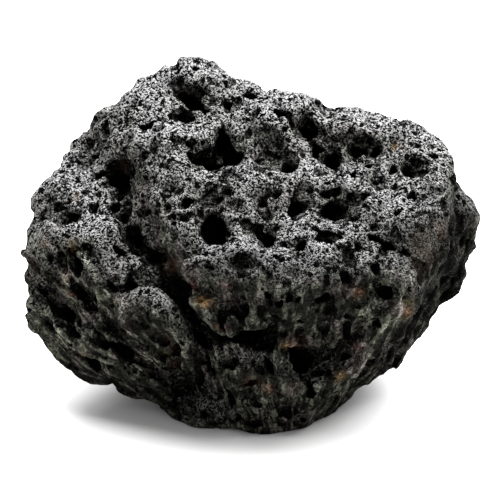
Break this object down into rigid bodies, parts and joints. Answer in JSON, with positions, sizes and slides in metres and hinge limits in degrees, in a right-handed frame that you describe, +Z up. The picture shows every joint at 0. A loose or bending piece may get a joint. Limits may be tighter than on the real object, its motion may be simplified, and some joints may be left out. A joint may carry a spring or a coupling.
{
  "type": "lava rock",
  "caption": "Fist-sized lump of dark vesicular lava rock with a pitted sloping top and rounded lobes, resting on a small flat facet.",
  "frame": {"origin": "on the floor below the middle of the rock's bounding box", "axes": "+Z up; +Y to the back, away from the side whose sloping top faces the onlooker; +X to the right as seen from in front"},
  "size_m": [0.1094, 0.0822, 0.0794],
  "materials": {
    "basalt": "rough and granular, with a slight mineral glint"
  },
  "bodies": {
    "root": {"lava_rock": "basalt"}
  },
  "joints": []
}
